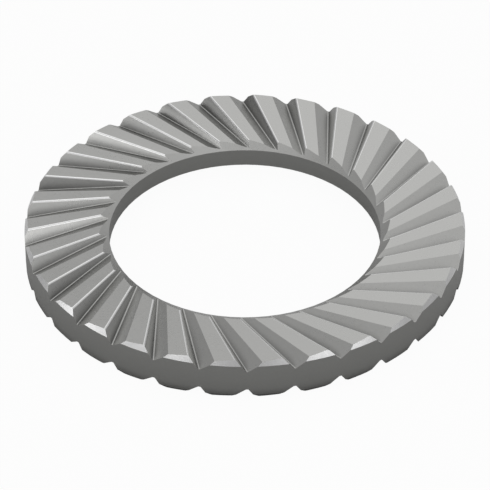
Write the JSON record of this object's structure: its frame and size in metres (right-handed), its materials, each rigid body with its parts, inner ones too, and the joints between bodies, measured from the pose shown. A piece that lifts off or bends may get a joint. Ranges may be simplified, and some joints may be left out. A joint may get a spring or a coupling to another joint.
{
  "type": "toothed lock washer",
  "caption": "Flat steel ring with skewed saw teeth on both faces, which bite under a screw head or nut so that it can't work loose.",
  "frame": {"origin": "on the ring's axis, level with its lowest tooth crests", "axes": "+Z along the ring's axis, out of the face that the picture shows; +X to the right of the picture and +Y away from its viewer"},
  "size_m": [0.0164, 0.0164, 0.0017],
  "materials": {
    "ring_steel": "satin, finely ground"
  },
  "bodies": {
    "root": {"lock_washer": "ring_steel"}
  },
  "joints": []
}
